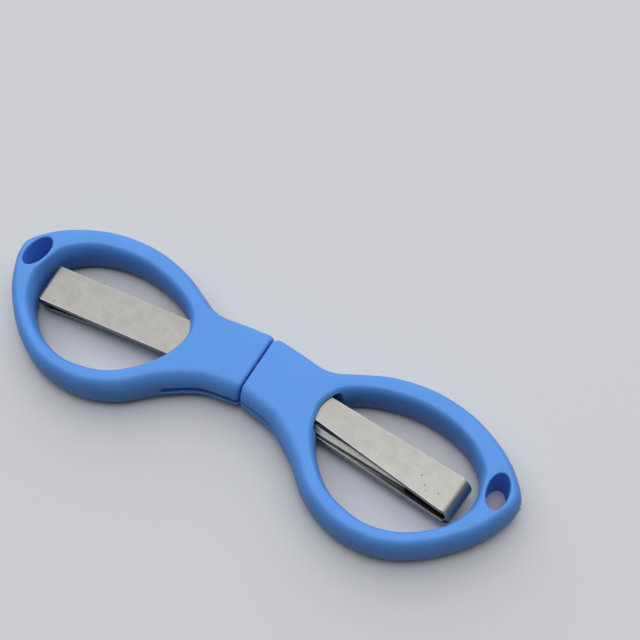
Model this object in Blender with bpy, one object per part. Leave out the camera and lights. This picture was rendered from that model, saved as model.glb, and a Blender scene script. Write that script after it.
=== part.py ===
"""Folding scissors, shut. Two steel levers, one stamping turned over to face itself, turn on a rivet.
Each lever is a blade on one side of the rivet and an arm on the other. The arm is folded back on itself,
and the other lever's blade lies in the channel between its two leaves. A moulded handle slides on each arm:
its neck is a sleeve round the arm, and its ring takes the fingers once it is pulled out.

The model stands on z = 0 with x along the scissors and y to the far side, and its origin is under its middle.
"""
import math

import bmesh
import bpy
from mathutils import Matrix, Vector

for old in list(bpy.data.objects):
    bpy.data.objects.remove(old)

mm = 0.001
degree = math.radians(1)

# The levers' sheet and the running gaps between moving pieces
sheet = 1.0 * mm
leaf_gap = 0.3 * mm
sleeve_play = 0.3 * mm

# A lever's arm, which droops to the near side as it goes out
arm_width = 7.2 * mm
arm_droop = 5.3 * degree
blade_headroom = 0.7 * mm
fold_bulge = 0.4 * mm
fold_ramp = 2.2 * mm
fold_room = 1.15 * mm
fold_pinch = 0.4 * mm
return_start = 5.0 * mm
return_fold_width = 6.6 * mm
return_end_width = 4.1 * mm

# A lever's blade
edge_inset = 0.35 * mm
edge_land = 0.15 * mm
grind_width = 1.5 * mm
tang_reach = 4.6 * mm
blade_tip_play = 0.5 * mm
burr_break = 0.12 * mm

# The rivet
rivet_radius = 1.4 * mm
rivet_head_radius = 2.4 * mm
rivet_head_height = 0.8 * mm

# A handle, from the seam between the two handles to its outer end
handle_reach = 48.9 * mm
ring_far_reach = 11.4 * mm
ring_near_reach = 18.15 * mm
ring_far_band = 4.5 * mm
ring_near_band = 3.75 * mm
neck_length = 13.6 * mm
neck_wall = 2.55 * mm
seam_gap = 0.35 * mm
edge_depth = 1.7 * mm
opening_edge_depth = 1.2 * mm
edge_level_wall = 0.7 * mm
seam_round = 0.5 * mm
corner_round = 0.9 * mm
sleeve_floor = 0.8 * mm

# The slit in a handle's neck, which lets the blade swing out once the handles are pulled out
slit_end_web = 1.5 * mm

# The walls round the lanyard hole
lanyard_end_wall = 2.15 * mm
lanyard_far_wall = 2.75 * mm
lanyard_ring_wall = 0.95 * mm
lanyard_lean = 10 * degree
lanyard_round = 0.25 * mm

# The pivot, beyond the line through the two lanyard holes, and to the left of the seam
pivot_offset = 0.3 * mm
pivot_aside = 0.4 * mm

# One overrun for every cutter
overrun = 2.0 * mm

# Shares of the handle's reach, and of the neck's half width or the ring's reach, from the seam outwards
far_neck_shares = [(0.11, 0.935), (0.194, 0.855), (0.245, 0.9)]
far_ring_shares = [(0.304, 0.656), (0.404, 0.858), (0.51, 0.974), (0.61, 1.0), (0.726, 0.928),
                   (0.827, 0.763), (0.92, 0.515), (0.99, 0.185)]
near_ring_shares = [(0.982, 0.187), (0.927, 0.447), (0.82, 0.744), (0.701, 0.938), (0.585, 1.0),
                    (0.473, 0.966), (0.365, 0.832), (0.263, 0.599)]
near_neck_shares = [(0.151, 1.204), (0.058, 1.043)]
end_shares = (1.0, 0.035)

# Shares of the finger opening's half length and of its half width, round from its end at the neck
opening_shares = [(-1.0, 0.208), (-0.939, 0.464), (-0.787, 0.648), (-0.537, 0.853), (-0.206, 0.976), (0.093, 1.0),
                  (0.415, 0.936), (0.699, 0.78), (0.912, 0.47), (1.0, 0.06), (0.896, -0.36), (0.691, -0.66),
                  (0.41, -0.894), (0.05, -1.0), (-0.382, -0.876), (-0.68, -0.589), (-0.901, -0.208)]

# Shares of the blade's length and of the arm's width, from the tip back to the tang
blade_shares = [(1.0, 0.07), (0.985, 0.17), (0.94, 0.27), (0.82, 0.42), (0.6, 0.64), (0.38, 0.82), (0.22, 0.91)]

channel_height = leaf_gap + sheet + blade_headroom
arm_height = channel_height + 2 * sheet
arm_half = arm_width / 2
neck_half = arm_half + sleeve_play + neck_wall
# The arm's outer leaf is the piece that reaches furthest from the levers' meeting plane
handle_height = 2 * (arm_height - sheet - leaf_gap / 2 + sleeve_play + sleeve_floor)
edge_rise = (handle_height - edge_level_wall) / 2
fold_radius = arm_height / 2 + fold_bulge
# The far outline's last point but one lies beside the middle of the lanyard hole
lanyard_reach = handle_reach * far_ring_shares[-2][0]
lanyard_half_length = ring_far_reach * far_ring_shares[-2][1] - lanyard_far_wall
lanyard_half_width = handle_reach - lanyard_reach - lanyard_end_wall
opening_reach = lanyard_reach - lanyard_half_width - lanyard_ring_wall
# The opening's edge runs on past the neck on both sides of the arm, so the sleeve's mouth is not square
mouth_reach = neck_length + 0.85 * arm_half
arm_reach = opening_reach - fold_room
# A handle slides out until the fold's bulge meets the sleeve's mouth
handle_travel = arm_reach - fold_radius - fold_ramp / 2 - mouth_reach - pivot_aside
slit_reach = neck_length - slit_end_web
blade_length = handle_travel + slit_reach - blade_tip_play
seam_place = Vector((0, (ring_near_reach - ring_far_reach) / 2 + pivot_offset, handle_height / 2))
pivot_place = seam_place - Vector((pivot_aside, 0, 0))


def finish(name, colour, roughness, metallic):
    """A plain material for one kind of piece."""
    material = bpy.data.materials.new(name)
    material.use_nodes = True
    shader = material.node_tree.nodes["Principled BSDF"]
    shader.inputs["Base Color"].default_value = (*colour, 1)
    shader.inputs["Roughness"].default_value = roughness
    shader.inputs["Metallic"].default_value = metallic
    return material


def solid(name, bm, material=None):
    """An object from a closed mesh, shaded smooth but for its sharp edges."""
    bmesh.ops.recalc_face_normals(bm, faces=bm.faces)
    mesh = bpy.data.meshes.new(name)
    bm.to_mesh(mesh)
    bm.free()
    mesh.shade_smooth()
    mesh.set_sharp_from_angle(angle=35 * degree)
    if material:
        mesh.materials.append(material)
    thing = bpy.data.objects.new(name, mesh)
    bpy.context.scene.collection.objects.link(thing)
    return thing


def box(name, low, high, turn=0):
    """A box between two corners, turned about the pivot."""
    bm = bmesh.new()
    bmesh.ops.create_cube(bm, size=1)
    size = Vector(high) - Vector(low)
    middle = (Vector(high) + Vector(low)) / 2
    place = Matrix.Rotation(turn, 4, "Z") @ Matrix.Translation(middle) @ Matrix.Diagonal((*size, 1))
    bmesh.ops.transform(bm, matrix=place, verts=bm.verts)
    return solid(name, bm)


def smooth_through(points, steps, closed):
    """Points along a smooth curve that passes through every given point."""
    count = len(points)
    spans = count if closed else count - 1
    found = []
    for n in range(spans):
        ends = [n - 1, n, n + 1, n + 2]
        a, b, c, d = (points[i % count if closed else min(max(i, 0), count - 1)] for i in ends)
        for step in range(steps):
            t = step / steps
            found.append(0.5 * (2 * b + (c - a) * t + (2 * a - 5 * b + 4 * c - d) * t**2
                                + (3 * b - a - 3 * c + d) * t**3))
    return found if closed else found + [points[-1]]


def arc(centre, radius, start, end, steps):
    """Points on a round corner."""
    angles = [start + (end - start) * n / steps for n in range(steps + 1)]
    return [centre + radius * Vector((math.cos(angle), math.sin(angle))) for angle in angles]


def handle_outline():
    """The handle's plan, round from the far corner at the seam. The lanyard holes' line is y = 0."""
    start = seam_gap / 2 + corner_round
    far_middle = Vector((start, pivot_offset + neck_half - corner_round))
    near_middle = Vector((start, pivot_offset - neck_half + corner_round))
    far_corner = arc(far_middle, corner_round, math.pi, math.pi / 2, 3)
    near_corner = arc(near_middle, corner_round, -math.pi / 2, -math.pi, 3)
    route = [far_corner[-1]]
    route += [Vector((handle_reach * x, pivot_offset + neck_half * y)) for x, y in far_neck_shares]
    route += [Vector((handle_reach * x, ring_far_reach * y)) for x, y in far_ring_shares]
    route.append(Vector((handle_reach * end_shares[0], -ring_far_reach * end_shares[1])))
    route += [Vector((handle_reach * x, -ring_near_reach * y)) for x, y in near_ring_shares]
    route += [Vector((handle_reach * x, pivot_offset - neck_half * y)) for x, y in near_neck_shares]
    route.append(near_corner[0])
    return far_corner[:-1] + smooth_through(route, 3, False) + near_corner[1:]


def opening_outline():
    """The finger opening's plan."""
    half_length = (opening_reach - neck_length) / 2
    far_edge = ring_far_reach - ring_far_band
    near_edge = ring_near_band - ring_near_reach
    middle = Vector((neck_length + half_length, (far_edge + near_edge) / 2))
    half_width = (far_edge - near_edge) / 2
    points = [middle + Vector((half_length * x, half_width * y)) for x, y in opening_shares]
    return smooth_through(points, 3, True)


def lanyard_outline():
    """The slanted oval lanyard hole's plan."""
    centre = Vector((lanyard_reach, 0))
    long_way = Vector((-math.sin(lanyard_lean), math.cos(lanyard_lean)))
    wide_way = Vector((math.cos(lanyard_lean), math.sin(lanyard_lean)))
    angles = [math.tau * n / 20 for n in range(20)]
    return [centre + wide_way * math.cos(a) * lanyard_half_width + long_way * math.sin(a) * lanyard_half_length
            for a in angles]


def set_in(point, inward, inset, fall):
    """Where an outline's point goes on a layer that far in from the side and that far down from the face. A corner
    at the seam is shifted whole, in from the side as the rest is, and in from the seam by the seam's own round."""
    if point.x > seam_gap / 2 + 1.01 * corner_round:
        return point + inward * inset
    left = max(0, seam_round - fall)
    seam_inset = seam_round - math.sqrt(seam_round**2 - left**2)
    return point + Vector((seam_inset, -math.copysign(inset, point.y)))


def moulded_plate(name, loops, height, steps, material):
    """A plate with rounded edges. Each loop is its points and its edge's depth and rise; the first is the rim."""
    bm = bmesh.new()
    caps = {1: [], -1: []}
    for number, (points, depth, rise) in enumerate(loops):
        count = len(points)
        area = sum(points[n - 1].cross(points[n]) for n in range(count))
        into = -1 if (area > 0) == (number == 0) else 1
        rings = []
        for face in (1, -1):
            angles = [math.pi / 2 * n / steps for n in range(steps + 1)]
            for angle in reversed(angles) if face > 0 else angles:
                inset = depth * (1 - math.cos(angle))
                fall = rise * (1 - math.sin(angle))
                ring = []
                for n, point in enumerate(points):
                    along = (points[(n + 1) % count] - points[n - 1]).normalized()
                    inward = Vector((along.y, -along.x)) * into
                    place = set_in(point, inward, inset, fall)
                    ring.append(bm.verts.new((place.x, place.y, face * (height / 2 - fall))))
                rings.append(ring)
        for upper, lower in zip(rings, rings[1:]):
            for n in range(count):
                bm.faces.new((upper[n - 1], upper[n], lower[n], lower[n - 1]))
        for face, ring in ((1, rings[0]), (-1, rings[-1])):
            caps[face] += [bm.edges.get((ring[n - 1], ring[n])) for n in range(count)]
    for face, edges in caps.items():
        bmesh.ops.triangle_fill(bm, use_beauty=True, edges=edges, normal=(0, 0, face))
    bmesh.ops.translate(bm, vec=(0, -pivot_offset, 0), verts=bm.verts)
    return solid(name, bm, material)


def turned(name, profile, sides, material=None):
    """A solid turned about z from a profile of radius and height, bottom to top."""
    bm = bmesh.new()
    rings = []
    for radius, level in profile:
        angles = [math.tau * n / sides for n in range(sides)]
        rings.append([bm.verts.new((radius * math.cos(a), radius * math.sin(a), level)) for a in angles])
    for lower, upper in zip(rings, rings[1:]):
        for n in range(sides):
            bm.faces.new((lower[n - 1], lower[n], upper[n], upper[n - 1]))
    bm.faces.new(reversed(rings[0]))
    bm.faces.new(rings[-1])
    return solid(name, bm, material)


def bent_sheet(name, stations, material):
    """A sheet bent along its length. A station gives the far edge and the near edge of the sheet's middle
    surface, the way to its inner face, the width ground off its outer face and the land left at the edge."""
    bm = bmesh.new()
    rows = []
    for far, near, inner, grind, land in stations:
        across = (far - near).normalized()
        row = [far + inner * sheet / 2, near + inner * sheet / 2, near + inner * (sheet / 2 - land),
               near + across * grind - inner * sheet / 2, far - inner * sheet / 2]
        rows.append([bm.verts.new(point) for point in row])
    for first, second in zip(rows, rows[1:]):
        for n in range(5):
            bm.faces.new((first[n - 1], first[n], second[n], second[n - 1]))
    bm.faces.new(reversed(rows[0]))
    bm.faces.new(rows[-1])
    return solid(name, bm, material)


def lever_stations():
    """The lever that has its arm to the right, from its blade's tip to the free end of its return leaf."""
    out = Vector((math.cos(arm_droop), -math.sin(arm_droop), 0))
    back = Vector((-math.cos(arm_droop), -math.sin(arm_droop), 0))
    far_of_arm = Vector((math.sin(arm_droop), math.cos(arm_droop), 0))
    far_of_blade = Vector((-math.sin(arm_droop), math.cos(arm_droop), 0))
    up = Vector((0, 0, 1))
    leaf_level = -leaf_gap / 2 - sheet / 2
    plain = (burr_break, sheet - burr_break)
    stations = []
    for length_share, width_share in blade_shares:
        middle = back * blade_length * length_share + up * leaf_level
        near = middle - far_of_blade * (arm_half - edge_inset)
        far = near + far_of_blade * arm_width * width_share
        stations.append((far, near, up, min(grind_width, arm_width * width_share / 2), edge_land))
    root = back * tang_reach + up * leaf_level
    stations.append((root + far_of_blade * arm_half, root - far_of_blade * arm_half, up, *plain))
    half = Vector((0, arm_half / math.cos(arm_droop), 0))
    stations.append((up * leaf_level + half, up * leaf_level - half, up, *plain))
    # the main leaf, the bulged fold round the channel, and the return leaf, tapering towards the rivet
    fold_at = arm_reach - fold_radius
    fold_level = leaf_level + (channel_height + sheet) / 2
    middle_radius = fold_radius - sheet / 2
    route = [(tang_reach, leaf_level, 0), (fold_at - fold_ramp, leaf_level, 0)]
    for n in range(9):
        angle = math.pi * n / 8
        route.append((fold_at + middle_radius * math.sin(angle),
                      fold_level - middle_radius * math.cos(angle), angle))
    route += [(fold_at - fold_ramp, leaf_level + channel_height + sheet, math.pi),
              (return_start, leaf_level + channel_height + sheet, math.pi)]
    for place, level, angle in route:
        run = (place - return_start) / (fold_at - return_start) if angle == math.pi else 1
        return_width = return_end_width + (return_fold_width - return_end_width) * run
        half_width = (arm_width + (return_width - arm_width) * angle / math.pi) / 2 - fold_pinch * math.sin(angle)
        middle = out * place + up * level
        inner = up * math.cos(angle) - out * math.sin(angle)
        stations.append((middle + far_of_arm * half_width, middle - far_of_arm * half_width, inner, *plain))
    return stations


def cut(body, cutter):
    """Cuts one solid out of another and leaves the cutter as a wire guide."""
    cutter.hide_render = True
    cutter.display_type = "WIRE"
    step = body.modifiers.new(cutter.name, "BOOLEAN")
    step.operation = "DIFFERENCE"
    step.solver = "EXACT"
    step.object = cutter


steel = finish("satin_steel", (0.60, 0.59, 0.56), 0.35, 1.0)
plastic = finish("blue_plastic", (0.13, 0.33, 0.80), 0.42, 0.0)

head_seat = leaf_gap / 2 + sheet + leaf_gap
head_top = head_seat + rivet_head_height
rivet_side = [(rivet_head_radius * 0.6, head_top), (rivet_head_radius * 0.9, head_top - rivet_head_height * 0.3),
              (rivet_head_radius, head_seat + rivet_head_height * 0.3), (rivet_head_radius, head_seat),
              (rivet_radius, head_seat)]
rivet_profile = [(radius, -level) for radius, level in rivet_side] + list(reversed(rivet_side))
rivet = turned("pivot_rivet", rivet_profile, 24, steel)
rivet.location = pivot_place

arm_low = -leaf_gap / 2 - sheet - sleeve_play
arm_high = arm_low + arm_height + 2 * sleeve_play
pocket_half = head_top + sleeve_play
slit_low = leaf_gap / 2 - leaf_gap * 0.6
slit_high = leaf_gap / 2 + sheet + leaf_gap * 0.6
bore_radius = rivet_radius + leaf_gap
pocket_radius = rivet_head_radius + sleeve_play
loops = [(handle_outline(), edge_depth, edge_rise), (opening_outline(), opening_edge_depth, edge_rise),
         (lanyard_outline(), lanyard_round, lanyard_round)]

for side, turn in (("right", 0), ("left", math.pi)):
    turned_over = Matrix.Rotation(turn, 4, "Y")
    lever_place = Matrix.Translation(pivot_place) @ turned_over
    handle_place = Matrix.Translation(seam_place) @ turned_over

    lever = bent_sheet(f"{side}_blade_arm", lever_stations(), steel)
    bore = turned(f"{side}_lever_bore", [(bore_radius, -arm_height), (bore_radius, arm_height)], 24)
    cut(lever, bore)

    handle = moulded_plate(f"{side}_handle", loops, handle_height, 5, plastic)
    sleeve = box(f"{side}_sleeve", (-overrun, -arm_half - sleeve_play, arm_low),
                 (mouth_reach + overrun, arm_half + sleeve_play, arm_high), -arm_droop)
    pocket = turned(f"{side}_rivet_pocket", [(pocket_radius, -pocket_half), (pocket_radius, pocket_half)], 24)
    slit = box(f"{side}_blade_slit", (-overrun, -ring_near_reach * 0.8, slit_low), (slit_reach, 0, slit_high))
    for cutter in (sleeve, pocket, slit):
        cut(handle, cutter)
    for thing in (lever, bore, sleeve, pocket):
        thing.matrix_world = lever_place
    for thing in (handle, slit):
        thing.matrix_world = handle_place
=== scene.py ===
"""Pocket folding scissors, shut: two steel levers on a rivet, with a sleeved blue handle on each arm."""

import math

import bmesh
import bpy
from mathutils import Matrix, Vector


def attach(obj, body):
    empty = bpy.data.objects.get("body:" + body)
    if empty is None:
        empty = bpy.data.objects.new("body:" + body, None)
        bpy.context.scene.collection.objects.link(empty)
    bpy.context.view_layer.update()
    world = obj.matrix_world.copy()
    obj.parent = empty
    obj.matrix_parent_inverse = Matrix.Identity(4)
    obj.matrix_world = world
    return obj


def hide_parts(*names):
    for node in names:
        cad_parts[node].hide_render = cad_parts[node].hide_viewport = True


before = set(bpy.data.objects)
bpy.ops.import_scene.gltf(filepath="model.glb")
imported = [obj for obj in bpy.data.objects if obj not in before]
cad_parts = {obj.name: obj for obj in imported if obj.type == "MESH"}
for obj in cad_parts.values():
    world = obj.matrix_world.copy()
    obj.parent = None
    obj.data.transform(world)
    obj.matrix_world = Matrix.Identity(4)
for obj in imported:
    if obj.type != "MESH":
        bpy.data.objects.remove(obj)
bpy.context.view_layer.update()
mm = 0.001
degree = math.radians(1)


# The view. The scissors lie on a table and are seen from the near right, from well above, through a long
# lens. Its place is given over the table, with a heading round to the left, a tilt down and a small roll.
view_place = Vector((62.79, -73.885, 202.49)) * mm
view_heading = 32.73 * degree
view_tilt = 61.25 * degree
view_roll = -2.59 * degree
focal_length = 73.8
nearest_seen = 10 * mm
farthest_seen = 10


def put_in_scene(name, data):
    """A new object in the scene, at the origin."""
    thing = bpy.data.objects.new(name, data)
    bpy.context.scene.collection.objects.link(thing)
    return thing


lens = bpy.data.cameras.new("long_lens")
lens.lens = focal_length
lens.clip_start = nearest_seen
lens.clip_end = farthest_seen
camera = put_in_scene("camera", lens)
camera.matrix_world = (Matrix.Translation(view_place) @ Matrix.Rotation(view_heading, 4, "Z")
                       @ Matrix.Rotation(math.pi / 2 - view_tilt, 4, "X")
                       @ Matrix.Rotation(view_roll, 4, "Z"))
bpy.context.scene.camera = camera


# The steel levers. Each is stamped from 1 mm stainless sheet as a blade and an arm in one, ground along the
# blade's near edge, and folded back over itself at the arm, so the other blade lies between its leaves.
# Both come from one tool, the left one turned over, and the pair lies a little askew in the sleeves' play.
sheet = 1.0 * mm
leaf_gap = 0.3 * mm
blade_headroom = 0.7 * mm
burr_round = 0.12 * mm
arm_width = 7.35 * mm
arm_droop = 5.3 * degree
arm_reach = 41.22 * mm
fold_low_radius = 0.6 * mm
fold_high_radius = 1.5 * mm
fold_pinch_far = 0.3 * mm
fold_pinch_near = 0.35 * mm
return_start = 5.0 * mm
return_start_far = 2.4 * mm
return_start_near = 1.8 * mm
return_fold_far = 3.45 * mm
return_fold_near = 3.4 * mm
blade_length = 32.2 * mm
tang_reach = 4.6 * mm
edge_taper = 1.0 * mm
edge_land = 0.6 * mm
grind_width = 0.7 * mm
grind_start = 1.15 * tang_reach
grind_start_width = 0.6 * grind_width
least_grind = 0.1 * mm
rivet_hole_radius = 1.7 * mm
pivot_place = Vector((-0.4, 3.675, 3.95)) * mm
lever_turn = -0.42 * degree
# the blade's plan from its tip in, as shares of its length and of the arm's width
blade_shares = [(1.0, 0.04), (0.985, 0.12), (0.94, 0.25), (0.82, 0.42), (0.6, 0.64), (0.38, 0.82),
                (0.22, 0.91)]
blade_steps = 5
low_bend_steps = 12
high_bend_steps = 16
return_steps = 6
burr_steps = 3
hole_steps = 64
close_by = 0.01 * mm
merged_distance = 0.001 * mm
lever_sharp_angle = 40 * degree

channel_height = leaf_gap + sheet + blade_headroom
arm_height = channel_height + 2 * sheet
return_face = pivot_place.z - leaf_gap / 2 - sheet + arm_height
# where each pit of the right return leaf is, in x and y, and its radius, all in millimetres
pits = [(33.2, 0.2, 0.16), (34.3, -1.1, 0.14), (36.9, -1.3, 0.12), (34.9, -1.8, 0.09), (31.5, 1.3, 0.08)]
pit_colour = (0.06, 0.055, 0.05)
pit_floor_share = 0.4
pit_rim_share = 1.3
pit_darkness = 0.9
noise_span = (0.3, 0.7)


def new_finish(name):
    """A new material, with its tree of nodes and its shader."""
    finish = bpy.data.materials.new(name)
    finish.use_nodes = True
    return finish, finish.node_tree, finish.node_tree.nodes["Principled BSDF"]


def noise_at(tree, place, scale, detail, roughness=0.5, distortion=0.0):
    """Noise with a grain of the given scale, read at a place."""
    noise = tree.nodes.new("ShaderNodeTexNoise")
    noise.inputs["Scale"].default_value = scale
    noise.inputs["Detail"].default_value = detail
    noise.inputs["Roughness"].default_value = roughness
    noise.inputs["Distortion"].default_value = distortion
    tree.links.new(place, noise.inputs["Vector"])
    return noise.outputs["Fac"]


def carried_over(tree, value, span, result):
    """A value carried over from one span of values to another, and held at their ends."""
    carry = tree.nodes.new("ShaderNodeMapRange")
    for name, end in zip(("From Min", "From Max", "To Min", "To Max"), (*span, *result)):
        carry.inputs[name].default_value = end
    tree.links.new(value, carry.inputs["Value"])
    return carry.outputs["Result"]


def larger(tree, first, second):
    """The larger of two values."""
    most = tree.nodes.new("ShaderNodeMath")
    most.operation = "MAXIMUM"
    tree.links.new(first, most.inputs[0])
    tree.links.new(second, most.inputs[1])
    return most.outputs["Value"]


def mixed(tree, share, first, second):
    """Two colours mixed by a share. The first may come from another node."""
    mix = tree.nodes.new("ShaderNodeMix")
    mix.data_type = "RGBA"
    if isinstance(first, tuple):
        mix.inputs["A"].default_value = (*first, 1)
    else:
        tree.links.new(first, mix.inputs["A"])
    mix.inputs["B"].default_value = (*second, 1)
    tree.links.new(share, mix.inputs["Factor"])
    return mix.outputs["Result"]


def clouded(tree, clouds, colour, darkest, lightest):
    """A colour that noise clouds faintly, between two shares of itself."""
    dark, light = (tuple(part * share for part in colour) for share in (darkest, lightest))
    return mixed(tree, carried_over(tree, clouds, noise_span, (0, 1)), dark, light)


def grained(tree, shader, fine, roughness, strength, depth):
    """Gives a shader a fine noise as its roughness, within two ends, and as its relief."""
    tree.links.new(carried_over(tree, fine, noise_span, roughness), shader.inputs["Roughness"])
    relief = tree.nodes.new("ShaderNodeBump")
    relief.inputs["Strength"].default_value = strength
    relief.inputs["Distance"].default_value = depth
    tree.links.new(fine, relief.inputs["Height"])
    tree.links.new(relief.outputs["Normal"], shader.inputs["Normal"])


def pitted(tree, place, colour):
    """A colour with the few pits of the rolled sheet, which show in the right return leaf."""
    deepest = None
    for x, y, radius in pits:
        away = tree.nodes.new("ShaderNodeVectorMath")
        away.operation = "DISTANCE"
        away.inputs[1].default_value = (x * mm, y * mm, return_face)
        tree.links.new(place, away.inputs[0])
        pit_span = (radius * pit_floor_share * mm, radius * pit_rim_share * mm)
        pit = carried_over(tree, away.outputs["Value"], pit_span, (pit_darkness, 0))
        deepest = pit if deepest is None else larger(tree, deepest, pit)
    return mixed(tree, deepest, colour, pit_colour)


def satin_steel(name, colour, roughness, grain, grain_depth, stretch):
    """Stainless steel with a fine grain, which is drawn out along each axis whose stretch is small."""
    steel, tree, shader = new_finish(name)
    shader.inputs["Metallic"].default_value = 1.0
    place = tree.nodes.new("ShaderNodeTexCoord").outputs["Object"]
    stretched = tree.nodes.new("ShaderNodeMapping")
    stretched.inputs["Scale"].default_value = stretch
    tree.links.new(place, stretched.inputs["Vector"])
    clouds = noise_at(tree, place, scale=480, detail=4, roughness=0.8)
    tone = clouded(tree, clouds, colour, darkest=0.9, lightest=1.08)
    tree.links.new(pitted(tree, place, tone), shader.inputs["Base Color"])
    fine = noise_at(tree, stretched.outputs["Vector"], scale=grain, detail=4, roughness=0.65)
    grained(tree, shader, fine, (roughness * 0.86, roughness * 1.16), strength=0.6, depth=grain_depth)
    return steel


blasted_steel = satin_steel("blasted_steel", (0.355, 0.35, 0.33), 0.38, 5200, 0.010 * mm, (1, 1, 1))
# the inner faces' steel is smoother, and a little darker as painted shade inside the fold
inner_painted_shade_steel = satin_steel("inner_painted_shade_steel", (0.33, 0.33, 0.32), 0.20, 4200, 0.003 * mm, (0.15, 1, 1))
# the sheared edges' steel is painted much darker than the face's, a painted shade on the edge faces
edge_painted_shade_steel = satin_steel("edge_painted_shade_steel", (0.21, 0.21, 0.205), 0.30, 4200, 0.006 * mm, (1, 1, 0.12))
ground_steel = satin_steel("ground_steel", (0.62, 0.615, 0.595), 0.30, 4200, 0.001 * mm, (1, 0.08, 1))
# the burr rounds' steel is painted much lighter than the face's, a painted highlight along the edges
burr_painted_highlight_steel = satin_steel("burr_painted_highlight_steel", (0.72, 0.715, 0.70), 0.45, 5200, 0.002 * mm, (1, 1, 1))
# how far a face leans for each finish or painted light but the plain face's, where 1 is square on
burr_lean = 0.2
inner_lean = 0.7
edge_lean = 0.75
slope_least_lean = 0.2
slope_most_lean = 0.97
finishes_and_painted_light = {"Face finish": blasted_steel, "Burr painted highlight": burr_painted_highlight_steel, "Inner painted shade": inner_painted_shade_steel,
            "Edge painted shade": edge_painted_shade_steel, "Ground finish": ground_steel}


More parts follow.
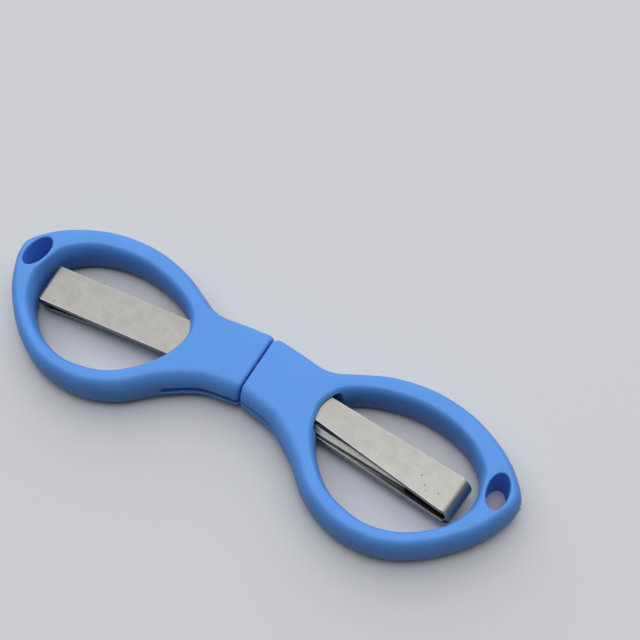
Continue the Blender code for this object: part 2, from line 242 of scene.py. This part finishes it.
def strip_sweep():
    """A sweep of a sheet's section along a bent path. The path's points say which way the inner face and the
    far edge lie, how far off the far and near edges are, and how much is ground off the outer face at the
    near edge. There the grind leaves a land of the edge standing, next to the inner face."""
    tree = bpy.data.node_groups.new("strip_sweep", "GeometryNodeTree")
    tree.interface.new_socket("Geometry", in_out="INPUT", socket_type="NodeSocketGeometry")
    for name in ("Sheet", "Burr round", "Edge land"):
        tree.interface.new_socket(name, in_out="INPUT", socket_type="NodeSocketFloat")
    for name in finishes_and_painted_light:
        tree.interface.new_socket(name, in_out="INPUT", socket_type="NodeSocketMaterial")
    tree.interface.new_socket("Geometry", in_out="OUTPUT", socket_type="NodeSocketGeometry")
    nodes, links = tree.nodes, tree.links
    given = nodes.new("NodeGroupInput").outputs
    made = nodes.new("NodeGroupOutput")

    def place_kept(name, geometry):
        keep = nodes.new("GeometryNodeStoreNamedAttribute")
        keep.data_type = "FLOAT_VECTOR"
        keep.inputs["Name"].default_value = name
        links.new(geometry, keep.inputs["Geometry"])
        links.new(nodes.new("GeometryNodeInputPosition").outputs["Position"], keep.inputs["Value"])
        return keep.outputs["Geometry"]

    def read(name, kind="FLOAT"):
        attribute = nodes.new("GeometryNodeInputNamedAttribute")
        attribute.data_type = kind
        attribute.inputs["Name"].default_value = name
        return attribute.outputs["Attribute"]

    def sum_up(operation, first, second):
        step = nodes.new("ShaderNodeMath")
        step.operation = operation
        for socket, value in zip(step.inputs, (first, second)):
            if isinstance(value, (int, float)):
                socket.default_value = value
            else:
                links.new(value, socket)
        return step.outputs["Value"]

    def vector_sum(operation, first, second):
        step = nodes.new("ShaderNodeVectorMath")
        step.operation = operation
        links.new(first, step.inputs[0])
        links.new(second, step.inputs["Scale" if operation == "SCALE" else 1])
        return step.outputs["Value" if operation == "DOT_PRODUCT" else "Vector"]

    def chosen(share, first, second):
        mix = nodes.new("ShaderNodeMix")
        links.new(share, mix.inputs["Factor"])
        links.new(first, mix.inputs["A"])
        links.new(second, mix.inputs["B"])
        return mix.outputs["Result"]

    # the section is swept a metre wide, and its two edges are then brought in to where the path says
    section_half = 0.5
    section = nodes.new("GeometryNodeCurvePrimitiveQuadrilateral")
    section.inputs["Width"].default_value = 2 * section_half
    links.new(given["Sheet"], section.inputs["Height"])
    softened = nodes.new("GeometryNodeFilletCurve")
    softened.mode = "POLY"
    softened.inputs["Count"].default_value = burr_steps
    links.new(section.outputs["Curve"], softened.inputs["Curve"])
    links.new(given["Burr round"], softened.inputs["Radius"])
    path = nodes.new("GeometryNodeMeshToCurve")
    links.new(place_kept("middle", given["Geometry"]), path.inputs["Mesh"])
    swept = nodes.new("GeometryNodeCurveToMesh")
    swept.inputs["Fill Caps"].default_value = True
    links.new(path.outputs["Curve"], swept.inputs["Curve"])
    links.new(place_kept("corner", softened.outputs["Curve"]), swept.inputs["Profile Curve"])

    split = nodes.new("ShaderNodeSeparateXYZ")
    links.new(read("corner", "FLOAT_VECTOR"), split.inputs["Vector"])
    over, through = split.outputs["X"], split.outputs["Y"]
    on_far_side = sum_up("GREATER_THAN", over, 0)
    on_outer_face = sum_up("LESS_THAN", through, 0)
    on_near_edge = sum_up("LESS_THAN", over, close_by - section_half)
    is_ground = sum_up("GREATER_THAN", read("grind"), least_grind)
    on_land = sum_up("MULTIPLY", sum_up("MULTIPLY", on_near_edge, on_outer_face), is_ground)
    land_level = sum_up("SUBTRACT", sum_up("MULTIPLY", given["Sheet"], 0.5), given["Edge land"])
    level = chosen(on_land, through, land_level)
    off_outer_face = sum_up("MULTIPLY", read("grind"), on_outer_face)
    ground_off = sum_up("MULTIPLY", off_outer_face, sum_up("SUBTRACT", 1, on_land))
    far_offset = sum_up("ADD", sum_up("SUBTRACT", read("far"), section_half), over)
    edge_offset = sum_up("SUBTRACT", sum_up("ADD", over, section_half), read("near"))
    offset = chosen(on_far_side, sum_up("ADD", edge_offset, ground_off), far_offset)

    across, inner = read("across", "FLOAT_VECTOR"), read("inner", "FLOAT_VECTOR")
    sideways = vector_sum("SCALE", across, offset)
    upright = vector_sum("SCALE", inner, level)
    placed = nodes.new("GeometryNodeSetPosition")
    links.new(swept.outputs["Mesh"], placed.inputs["Geometry"])
    in_plane = vector_sum("ADD", read("middle", "FLOAT_VECTOR"), sideways)
    links.new(vector_sum("ADD", in_plane, upright), placed.inputs["Position"])

    # each finish, and each painted highlight or painted shade, goes where the faces lean far enough its way,
    # and a later one over an earlier one
    facing = nodes.new("GeometryNodeInputNormal").outputs["Normal"]
    lean_to_far = vector_sum("DOT_PRODUCT", facing, across)
    lean_to_side = sum_up("ABSOLUTE", lean_to_far, 0)
    lean_to_inner = vector_sum("DOT_PRODUCT", facing, inner)
    leans_near = sum_up("LESS_THAN", lean_to_far, -slope_least_lean)
    on_slope = sum_up("MULTIPLY", leans_near, sum_up("LESS_THAN", lean_to_side, slope_most_lean))
    where = {"Burr painted highlight": sum_up("GREATER_THAN", lean_to_side, burr_lean),
             "Inner painted shade": sum_up("GREATER_THAN", lean_to_inner, inner_lean),
             "Edge painted shade": sum_up("GREATER_THAN", lean_to_side, edge_lean),
             "Ground finish": sum_up("MULTIPLY", is_ground, on_slope)}
    finished = placed.outputs["Geometry"]
    for finish in finishes_and_painted_light:
        coat = nodes.new("GeometryNodeSetMaterial")
        links.new(finished, coat.inputs["Geometry"])
        links.new(given[finish], coat.inputs["Material"])
        if finish in where:
            links.new(where[finish], coat.inputs["Selection"])
        finished = coat.outputs["Geometry"]
    real = nodes.new("GeometryNodeRealizeInstances")
    links.new(finished, real.inputs["Geometry"])
    links.new(real.outputs["Geometry"], made.inputs["Geometry"])
    return tree


def smooth_through(points, steps, closed):
    """Points along a smooth curve that passes through every given point."""
    count = len(points)
    spans = count if closed else count - 1
    found = []
    for n in range(spans):
        ends = [n - 1, n, n + 1, n + 2]
        a, b, c, d = (points[i % count if closed else min(max(i, 0), count - 1)] for i in ends)
        for step in range(steps):
            t = step / steps
            found.append(0.5 * (2 * b + (c - a) * t + (2 * a - 5 * b + 4 * c - d) * t**2
                                + (3 * b - a - 3 * c + d) * t**3))
    return found if closed else found + [points[-1]]


def lever_path():
    """The path of the lever that has its arm to the right, from the blade's tip to the return leaf's free
    end. Each point has its place in the middle of the sheet, the way to the inner face, the way to the far
    edge, the far and near offsets, and the grind."""
    out = Vector((math.cos(arm_droop), -math.sin(arm_droop), 0))
    back = Vector((-math.cos(arm_droop), -math.sin(arm_droop), 0))
    far_of_arm = Vector((math.sin(arm_droop), math.cos(arm_droop), 0))
    far_of_blade = Vector((-math.sin(arm_droop), math.cos(arm_droop), 0))
    up = Vector((0, 0, 1))
    half = arm_width / 2
    leaf_level = -leaf_gap / 2 - sheet / 2
    leaf = up * leaf_level
    path = []
    blade_plan = smooth_through([Vector(share) for share in blade_shares], blade_steps, False)
    for length_share, width_share in blade_plan:
        reach = blade_length * length_share
        width = arm_width * width_share
        near = half - edge_taper * (reach - tang_reach) / (blade_length - tang_reach)
        path.append((back * reach + leaf, up, far_of_blade, width - near, near, min(grind_width, width / 2)))
    path.append((back * grind_start + leaf, up, far_of_blade, half, half, grind_start_width))
    path.append((back * tang_reach + leaf, up, far_of_blade, half, half, 0.0))
    across = half / math.cos(arm_droop)
    path.append((leaf, up, Vector((0, 1, 0)), across, across, 0.0))
    # the main leaf, a tight bend up, an easier bend over, and the return leaf, tapering towards the rivet
    low_bend = arm_reach - sheet / 2 - fold_low_radius
    high_bend = arm_reach - sheet / 2 - fold_high_radius
    return_level = leaf_level + channel_height + sheet
    route = [(tang_reach, leaf_level, 0.0)]
    for n in range(low_bend_steps + 1):
        angle = math.pi / 2 * n / low_bend_steps
        route.append((low_bend + fold_low_radius * math.sin(angle),
                      leaf_level + fold_low_radius * (1 - math.cos(angle)), angle))
    for n in range(high_bend_steps + 1):
        angle = math.pi / 2 * (1 + n / high_bend_steps)
        route.append((high_bend + fold_high_radius * math.sin(angle),
                      return_level - fold_high_radius * (1 + math.cos(angle)), angle))
    for n in range(1, return_steps + 1):
        route.append((high_bend + (return_start - high_bend) * n / return_steps, return_level, math.pi))
    for place, level, angle in route:
        run = (place - return_start) / (high_bend - return_start) if angle == math.pi else 1
        offsets = []
        for start, end, pinch in ((return_start_far, return_fold_far, fold_pinch_far),
                                  (return_start_near, return_fold_near, fold_pinch_near)):
            offset = start + (end - start) * run
            offsets.append(half + (offset - half) * angle / math.pi - pinch * math.sin(angle))
        inner = up * math.cos(angle) - out * math.sin(angle)
        path.append((out * place + up * level, inner, far_of_arm, *offsets, 0.0))
    return path


def round_bar(radius, length, segments):
    """A plain round bar, upright about the origin."""
    bar = bmesh.new()
    bmesh.ops.create_cone(bar, cap_ends=True, segments=segments, radius1=radius, radius2=radius,
                          depth=length)
    return bar


def mesh_of(name, shape):
    """A shape as a named mesh."""
    mesh = bpy.data.meshes.new(name)
    shape.to_mesh(mesh)
    shape.free()
    return mesh


def cut_away(thing, core):
    """Cuts another object's shape out of a thing."""
    cut = thing.modifiers.new(core.name, "BOOLEAN")
    cut.operation = "DIFFERENCE"
    cut.solver = "EXACT"
    cut.object = core


def finished_mesh(thing):
    """A thing's mesh with its modifiers worked in."""
    return bpy.data.meshes.new_from_object(thing.evaluated_get(bpy.context.evaluated_depsgraph_get()))


sweep = strip_sweep()
sockets = {item.name: item.identifier for item in sweep.interface.items_tree if item.in_out == "INPUT"}
sweep_inputs = {"Sheet": sheet, "Burr round": burr_round, "Edge land": edge_land, **finishes_and_painted_light}
sides = (("right", 0), ("left", math.pi))

for side, turn in sides:
    path = lever_path()
    line = bpy.data.meshes.new(f"{side}_lever_line")
    line.from_pydata([point[0] for point in path], [(n, n + 1) for n in range(len(path) - 1)], [])
    for column, name in ((1, "inner"), (2, "across")):
        kept = line.attributes.new(name, "FLOAT_VECTOR", "POINT")
        kept.data.foreach_set("vector", [part for point in path for part in point[column]])
    for column, name in ((3, "far"), (4, "near"), (5, "grind")):
        kept = line.attributes.new(name, "FLOAT", "POINT")
        kept.data.foreach_set("value", [point[column] for point in path])
    strip = put_in_scene(f"{side}_lever_strip", line)
    bend = strip.modifiers.new("bend", "NODES")
    bend.node_group = sweep
    for name, value in sweep_inputs.items():
        bend[sockets[name]] = value
    drill = round_bar(rivet_hole_radius, 4 * arm_height, hole_steps)
    punch = put_in_scene(f"{side}_punch", mesh_of(f"{side}_drill", drill))
    cut_away(strip, punch)
    steel_mesh = finished_mesh(strip)
    bpy.data.objects.remove(strip)
    bpy.data.objects.remove(punch)

    clean = bmesh.new()
    clean.from_mesh(steel_mesh)
    bmesh.ops.remove_doubles(clean, verts=clean.verts, dist=merged_distance)
    bmesh.ops.recalc_face_normals(clean, faces=clean.faces)
    clean.to_mesh(steel_mesh)
    clean.free()
    askew = Matrix.Rotation(lever_turn, 4, "Z")
    steel_mesh.transform(Matrix.Translation(pivot_place) @ askew @ Matrix.Rotation(turn, 4, "Y"))
    steel_mesh.shade_smooth()
    steel_mesh.set_sharp_from_angle(angle=lever_sharp_angle)
    lever = put_in_scene(f"{side}_lever", steel_mesh)
    flat_faces = lever.modifiers.new("flat_faces", "WEIGHTED_NORMAL")
    flat_faces.keep_sharp = True
    flat_faces.weight = 100
    lever.data = finished_mesh(lever)
    lever.modifiers.clear()
    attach(lever, f"{side}_lever")
    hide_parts(f"{side}_blade_arm")


# The rivet. It is a turned steel pin, headed over a domed face on each side of the two levers, and it sits
# in a pocket in both necks, so it only shows once the handles are pulled out.
rivet_radius = 1.4 * mm
rivet_head_radius = 2.4 * mm
rivet_head_height = 0.8 * mm
rivet_sharp_angle = 50 * degree
round_steps = 72
head_seat = leaf_gap / 2 + sheet + leaf_gap
# the head's profile from its rim to its dimple, as shares of its radius and height
dome_shares = [(1.0, 0.0), (1.0, 0.22), (0.985, 0.36), (0.95, 0.5), (0.88, 0.66), (0.78, 0.8),
               (0.64, 0.91), (0.48, 0.98), (0.32, 1.0), (0.22, 0.97), (0.14, 0.9), (0.06, 0.86)]


def closed_through(rows):
    """A closed solid through rows that have the same number of points."""
    body = bmesh.new()
    rings = [[body.verts.new(point) for point in row] for row in rows]
    for first, second in zip(rings, rings[1:]):
        for n in range(len(first)):
            body.faces.new((first[n - 1], first[n], second[n], second[n - 1]))
    body.faces.new(rings[0])
    body.faces.new(rings[-1])
    bmesh.ops.recalc_face_normals(body, faces=body.faces)
    return body


def round_angles(steps):
    """The angles of evenly spaced points once round."""
    return [math.tau * n / steps for n in range(steps)]


upper_side = [(rivet_radius, 0.0), (rivet_radius, head_seat)]
upper_side += [(rivet_head_radius * out, head_seat + rivet_head_height * up) for out, up in dome_shares]
profile = [(radius, -level) for radius, level in reversed(upper_side)] + upper_side[1:]
turned = closed_through([[(radius * math.cos(angle), radius * math.sin(angle), level)
                          for angle in round_angles(round_steps)] for radius, level in profile])
bmesh.ops.translate(turned, vec=pivot_place, verts=turned.verts)
rivet_mesh = mesh_of("rivet", turned)
rivet_mesh.shade_smooth()
rivet_mesh.set_sharp_from_angle(angle=rivet_sharp_angle)
headed_steel = satin_steel("headed_steel", (0.70, 0.69, 0.67), 0.22, 5000, 0.003 * mm, (1, 1, 1))
rivet_mesh.materials.append(headed_steel)
rivet = put_in_scene("rivet", rivet_mesh)
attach(rivet, "left_lever")
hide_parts("pivot_rivet")


# The handles. Each is one moulding in satin blue plastic: a neck that is a sleeve round the arm, with a slit
# in its near wall for the blade, and a finger ring with a slanted lanyard hole at its end. The left one is
# the right one turned over.
handle_reach = 48.9 * mm
handle_height = 7.9 * mm
ring_far_reach = 11.4 * mm
ring_near_reach = 18.15 * mm
ring_far_band = 4.5 * mm
ring_near_band = 3.75 * mm
neck_length = 13.6 * mm
neck_half = 6.45 * mm
seam_gap = 0.35 * mm
seam_round = 0.5 * mm
corner_round = 0.9 * mm
corner_end = seam_gap / 2 + 1.01 * corner_round
corner_steps = 8
edge_depth = 1.7 * mm
edge_rise = 3.6 * mm
edge_steps = 14
shoulder_depth = 2.2 * mm
shoulder_end = 1.6 * neck_length
opening_reach = 42.3 * mm
opening_edge_depth = 1.3 * mm
web_share = 0.8
lanyard_reach = 44.99 * mm
lanyard_half_length = 3.25 * mm
lanyard_half_width = 1.82 * mm
lanyard_round = 0.25 * mm
lanyard_lean = 10 * degree
sleeve_play = 0.3 * mm
sleeve_ease = 0.3 * mm
ease_steps = 3
mouth_reach = 16.66 * mm
slit_reach = 12.6 * mm
slit_lip = 0.45 * mm
slit_low_room = 0.24 * mm
slit_high_room = 0.12 * mm
slit_low_flare = 0.75 * mm
slit_high_flare = 0.2 * mm
slit_inner_line = -3 * mm
slit_overrun = 1 * mm
core_overrun = 2 * mm
pivot_offset = 0.3 * mm
seam_place = Vector((0, 3.675, 3.95)) * mm
handle_sharp_angle = 32 * degree
curve_steps = 9
# the plan's points as shares of the handle's reach and of the neck's half width or the ring's two reaches
far_neck_shares = [(0.11, 0.935), (0.194, 0.855), (0.245, 0.9)]
far_ring_shares = [(0.304, 0.656), (0.404, 0.858), (0.51, 0.974), (0.61, 1.0), (0.726, 0.928),
                   (0.827, 0.763), (0.92, 0.515), (0.99, 0.185)]
end_shares = (1.0, 0.035)
near_ring_shares = [(0.982, 0.187), (0.927, 0.447), (0.82, 0.744), (0.701, 0.938), (0.585, 1.0),
                    (0.473, 0.966), (0.365, 0.832), (0.263, 0.599)]
near_neck_shares = [(0.151, 1.204), (0.058, 1.043)]
# the opening's points about its middle, as shares of its half length and half width
opening_shares = [(-1.0, 0.208), (-0.953, 0.478), (-0.825, 0.675), (-0.55, 0.86), (-0.206, 0.976),
                  (0.093, 1.0), (0.415, 0.936), (0.699, 0.78), (0.93, 0.487), (1.004, 0.06),
                  (0.896, -0.36), (0.691, -0.66), (0.41, -0.894), (0.05, -1.0), (-0.382, -0.876),
                  (-0.68, -0.589), (-0.901, -0.208)]
# how far in from the wall each point of the slit's lips is, and how far it has flared, as shares
lip_shares = [(1.0, 0.0), (0.62, 0.08), (0.29, 0.29), (0.08, 0.62), (0.0, 1.0)]


def satin_plastic(name, colour):
    """Moulded plastic with the fine texture of a blasted mould and the faint streaks of the flow into it."""
    plastic, tree, shader = new_finish(name)
    shader.inputs["Specular IOR Level"].default_value = 0.2
    place = tree.nodes.new("ShaderNodeTexCoord").outputs["Object"]
    streaks = noise_at(tree, place, scale=90, detail=3, distortion=0.6)
    tone = clouded(tree, streaks, colour, darkest=0.965, lightest=1.03)
    tree.links.new(tone, shader.inputs["Base Color"])
    fine = noise_at(tree, place, scale=5200, detail=3)
    grained(tree, shader, fine, (0.40, 0.50), strength=0.35, depth=0.004 * mm)
    return plastic


def arc(centre, radius, start, end, steps):
    """Points on a round corner."""
    angles = [start + (end - start) * n / steps for n in range(steps + 1)]
    return [centre + radius * Vector((math.cos(angle), math.sin(angle))) for angle in angles]


def near_route():
    """The near side of the handle's plan, from its outer end in to the seam."""
    route = [Vector((handle_reach * end_shares[0], -ring_far_reach * end_shares[1]))]
    route += [Vector((handle_reach * x, -ring_near_reach * y)) for x, y in near_ring_shares]
    route += [Vector((handle_reach * x, pivot_offset - neck_half * y)) for x, y in near_neck_shares]
    return route


def handle_outline():
    """The handle's plan, round from the far corner at the seam. The lanyard holes' line is y = 0."""
    start = seam_gap / 2 + corner_round
    inset = neck_half - corner_round
    far_middle = Vector((start, pivot_offset + inset))
    near_middle = Vector((start, pivot_offset - inset))
    far_corner = arc(far_middle, corner_round, math.pi, math.pi / 2, corner_steps)
    near_corner = arc(near_middle, corner_round, -math.pi / 2, -math.pi, corner_steps)
    route = [far_corner[-1]]
    route += [Vector((handle_reach * x, pivot_offset + neck_half * y)) for x, y in far_neck_shares]
    route += [Vector((handle_reach * x, ring_far_reach * y)) for x, y in far_ring_shares]
    route += near_route() + [near_corner[0]]
    return far_corner[:-1] + smooth_through(route, curve_steps, False) + near_corner[1:]


def opening_outline():
    """The finger opening's plan."""
    half_length = (opening_reach - neck_length) / 2
    far_edge = ring_far_reach - ring_far_band
    near_edge = ring_near_band - ring_near_reach
    middle = Vector((neck_length + half_length, (far_edge + near_edge) / 2))
    half_width = (far_edge - near_edge) / 2
    points = [middle + Vector((half_length * x, half_width * y)) for x, y in opening_shares]
    return smooth_through(points, curve_steps, True)


def lanyard_outline():
    """The slanted oval lanyard hole's plan."""
    centre = Vector((lanyard_reach, 0))
    long_way = Vector((-math.sin(lanyard_lean), math.cos(lanyard_lean)))
    wide_way = Vector((math.cos(lanyard_lean), math.sin(lanyard_lean)))
    return [centre + wide_way * math.cos(angle) * lanyard_half_width
            + long_way * math.sin(angle) * lanyard_half_length for angle in round_angles(round_steps)]


def set_in(point, inward, inset, fall):
    """Where an outline's point goes on a layer that far in from the side and that far down from the face. A
    corner at the seam is shifted whole, in from the side as the rest is, and in from the seam by the seam's
    own round."""
    if point.x > corner_end:
        return point + inward * inset
    left = max(0, seam_round - fall)
    seam_inset = seam_round - math.sqrt(seam_round**2 - left**2)
    return point + Vector((seam_inset, -math.copysign(inset, point.y)))


def moulded_plate(loops, height, steps):
    """A plate with rounded edges. Each loop has its points and its edge's depths and rise, and the first is
    the plate's rim."""
    plate = bmesh.new()
    caps = {1: [], -1: []}
    for number, (points, depths, rise) in enumerate(loops):
        count = len(points)
        area = sum(points[n - 1].cross(points[n]) for n in range(count))
        into = -1 if (area > 0) == (number == 0) else 1
        layers = []
        for face in (1, -1):
            angles = [math.pi / 2 * n / steps for n in range(steps + 1)]
            for angle in reversed(angles) if face > 0 else angles:
                fall = rise * (1 - math.sin(angle))
                layer = []
                for n, point in enumerate(points):
                    along = (points[(n + 1) % count] - points[n - 1]).normalized()
                    inward = Vector((along.y, -along.x)) * into
                    place = set_in(point, inward, depths[n] * (1 - math.cos(angle)), fall)
                    layer.append(plate.verts.new((place.x, place.y, face * (height / 2 - fall))))
                layers.append(layer)
        for upper, lower in zip(layers, layers[1:]):
            for n in range(count):
                plate.faces.new((upper[n - 1], upper[n], lower[n], lower[n - 1]))
        for face, layer in ((1, layers[0]), (-1, layers[-1])):
            caps[face] += [plate.edges.get((layer[n - 1], layer[n])) for n in range(count)]
    for face, edges in caps.items():
        bmesh.ops.triangle_fill(plate, use_beauty=True, edges=edges, normal=(0, 0, face))
    bmesh.ops.translate(plate, vec=(0, -pivot_offset, 0), verts=plate.verts)
    bmesh.ops.recalc_face_normals(plate, faces=plate.faces)
    return plate


def sleeve_sections(low, high, start, end):
    """The core that leaves the sleeve, along the drooping arm. Its long edges are eased a little."""
    half = arm_width / 2 + sleeve_play
    corners = [(half, low, -math.pi / 2), (half, high, 0), (-half, high, math.pi / 2), (-half, low, math.pi)]
    around = []
    for y, z, turn in corners:
        centre = Vector((y - math.copysign(sleeve_ease, y), z + (sleeve_ease if z == low else -sleeve_ease)))
        around += arc(centre, sleeve_ease, turn, turn + math.pi / 2, ease_steps)
    droop = Matrix.Rotation(-arm_droop, 3, "Z")
    return [[droop @ Vector((reach, point.x, point.y)) for point in around] for reach in (start, end)]


def slit_sections(low, high):
    """The core that leaves the slit, from its end to past the seam. Its lips flare out at the near wall, and
    run out at its end."""
    seam_end = Vector((seam_gap / 2, pivot_offset - neck_half))
    wall = smooth_through(near_route() + [seam_end], curve_steps, False)
    wall = [point for point in wall if point.x < slit_reach + close_by]
    wall = [wall[0]] + wall + [Vector((-core_overrun, wall[-1].y))]
    wall[0] = wall[1] + (wall[1] - wall[2]).normalized() * slit_lip
    sections = []
    for number, point in enumerate(wall):
        flaring = 0 if number == 0 else 1
        into_sleeve = point.y - pivot_offset - slit_inner_line
        profile = [(into_sleeve, 0)]
        profile += [(-slit_lip * share, flare) for share, flare in lip_shares]
        profile += [(slit_overrun, 1)]
        section = []
        for points, level, flare in ((profile, low, -slit_low_flare),
                                     (reversed(profile), high, slit_high_flare)):
            for outward, share in points:
                y = point.y - outward - pivot_offset
                section.append(Vector((point.x, y, level + flare * share * flaring)))
        sections.append(section)
    return sections


rim = handle_outline()
opening = opening_outline()
eyelet = lanyard_outline()
eyelet_web = [min((point - other).length for other in eyelet) - lanyard_round for point in opening]
rim_depths = []
for point in rim:
    share = min(1, max(0, (shoulder_end - point.x) / neck_length)) if point.y < 0 else 0
    rim_depths.append(edge_depth + (shoulder_depth - edge_depth) * (3 * share**2 - 2 * share**3))
loops = [(rim, rim_depths, edge_rise),
         (opening, [min(opening_edge_depth, web * web_share) for web in eyelet_web], edge_rise),
         (eyelet, [lanyard_round] * len(eyelet), lanyard_round)]
blue_plastic = satin_plastic("blue_plastic", (0.115, 0.34, 0.87))
arm_low = -leaf_gap / 2 - sheet - sleeve_play
arm_high = arm_low + arm_height + 2 * sleeve_play
slit_low = leaf_gap / 2 - slit_low_room
slit_high = leaf_gap / 2 + sheet + slit_high_room
pocket_half = head_seat + rivet_head_height + sleeve_play

for side, turn in sides:
    turned_over = Matrix.Rotation(turn, 4, "Y")
    to_pivot = Matrix.Translation(turned_over.inverted() @ (pivot_place - seam_place))
    sleeve = closed_through(sleeve_sections(arm_low, arm_high, -core_overrun, mouth_reach + core_overrun))
    pocket = round_bar(rivet_head_radius + sleeve_play, 2 * pocket_half, round_steps)
    for core in (sleeve, pocket):
        bmesh.ops.transform(core, matrix=to_pivot, verts=core.verts)
    shapes = {"handle": moulded_plate(loops, handle_height, edge_steps), "sleeve_core": sleeve,
              "pocket_core": pocket, "slit_core": closed_through(slit_sections(slit_low, slit_high))}
    body, *cores = [put_in_scene(f"{side}_{name}_form", mesh_of(f"{side}_{name}", shape))
                    for name, shape in shapes.items()]
    for core in cores:
        cut_away(body, core)
    moulding = finished_mesh(body)
    for thing in (body, *cores):
        bpy.data.objects.remove(thing)

    moulding.transform(Matrix.Translation(seam_place) @ turned_over)
    moulding.shade_smooth()
    moulding.set_sharp_from_angle(angle=handle_sharp_angle)
    moulding.materials.clear()
    moulding.materials.append(blue_plastic)
    handle = put_in_scene(f"{side}_moulded_handle", moulding)
    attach(handle, f"{side}_grip")
    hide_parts(f"{side}_handle")


# The stub of the runner that the right handle was moulded through. It was twisted off at the outer end of
# the ring, and where it tore the plastic is rough. Its pale colour is a painted highlight, made lighter
# still against the shade it sits in.
stub_place_y = 0.6 * mm
stub_level = 0.5 * mm
stub_radius = 0.42 * mm
stub_sides = 14
lobe_height = 0.12
ridge_height = 0.07
torn_lift = 0.06 * mm
first_torn_ring = 3
# how far out each of the stub's rings stands, in millimetres, and its share of the radius
stub_rings = [(-0.3, 1.0), (0.05, 0.95), (0.12, 0.84), (0.2, 0.74), (0.26, 0.5), (0.24, 0.2)]

outer_end = [point for point in rim if point.x > lanyard_reach]
foot = min(outer_end, key=lambda point: abs(point.y - stub_place_y))
here = rim.index(foot)
along = (rim[here + 1] - rim[here - 1]).normalized().to_3d()
out = Vector((-along.y, along.x, 0))
rings = []
for number, (stand, share) in enumerate(stub_rings):
    ring = []
    for angle in round_angles(stub_sides):
        lobes = lobe_height * math.sin(3 * angle + number)
        ridges = ridge_height * math.sin(5 * angle + 2 * number)
        round_way = along * math.cos(angle) + Vector((0, 0, 1)) * math.sin(angle)
        lift = torn_lift * math.sin(2 * angle + 1) if number >= first_torn_ring else 0
        spot = Vector((foot.x, foot.y, stub_level)) + out * (stand * mm + lift)
        ring.append(spot + round_way * stub_radius * share * (1 + lobes + ridges))
    rings.append(ring)
torn = closed_through(rings)
bmesh.ops.translate(torn, vec=seam_place - Vector((0, pivot_offset, 0)), verts=torn.verts)
stub_mesh = mesh_of("runner_stub", torn)
stub_mesh.shade_smooth()
# the stub's pale colour is a painted highlight
stub_painted_highlight = satin_plastic("stub_painted_highlight", (0.75, 0.8, 0.86))
stub_mesh.materials.append(stub_painted_highlight)
stub = put_in_scene("runner_stub", stub_mesh)
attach(stub, "right_grip")


# The table is one pale sheet, wide enough to fill the view, and passes little of its light on to the
# object's sides. A wide soft lamp hangs close over it, to the far side, a small panel lights it from above,
# and the room is dim.
table_half = 1500 * mm
table_seen = (0.66, 0.67, 0.69)
table_passed_on = (0.2, 0.2, 0.2)
table_roughness = 0.6
table_gloss = 0.2
softbox_way = Vector((-0.26, 0.405, 0.877))
softbox_distance = 1.15
# each lamp's name, width in metres, power in watts and place
lamps = [("softbox", 2.5, 23.0, softbox_way * softbox_distance),
         ("overhead_panel", 0.42, 2.0, Vector((0.06, -0.02, 1.05)))]
room_colour = (0.95, 0.97, 1.0)
room_strength = 0.12

table = bpy.data.meshes.new("table")
table.from_pydata([(-table_half, -table_half, 0), (table_half, -table_half, 0),
                   (table_half, table_half, 0), (-table_half, table_half, 0)], [], [(0, 1, 2, 3)])
table_finish, tree, shader = new_finish("pale_table")
shader.inputs["Roughness"].default_value = table_roughness
shader.inputs["Specular IOR Level"].default_value = table_gloss
ray = tree.nodes.new("ShaderNodeLightPath").outputs
seen = larger(tree, larger(tree, ray["Is Camera Ray"], ray["Is Glossy Ray"]), ray["Is Transmission Ray"])
tree.links.new(mixed(tree, seen, table_passed_on, table_seen), shader.inputs["Base Color"])
table.materials.append(table_finish)
table_top = put_in_scene("table_top", table)

for name, size, energy, place in lamps:
    lamp = bpy.data.lights.new(name, "AREA")
    lamp.shape = "SQUARE"
    lamp.size = size
    lamp.energy = energy
    panel = put_in_scene(name, lamp)
    panel.matrix_world = Matrix.Translation(place) @ place.to_track_quat("Z", "Y").to_matrix().to_4x4()

room = bpy.data.worlds.new("room")
room.use_nodes = True
background = room.node_tree.nodes["Background"]
background.inputs["Color"].default_value = (*room_colour, 1)
background.inputs["Strength"].default_value = room_strength
bpy.context.scene.world = room

bpy.context.scene.view_settings.view_transform = "Standard"
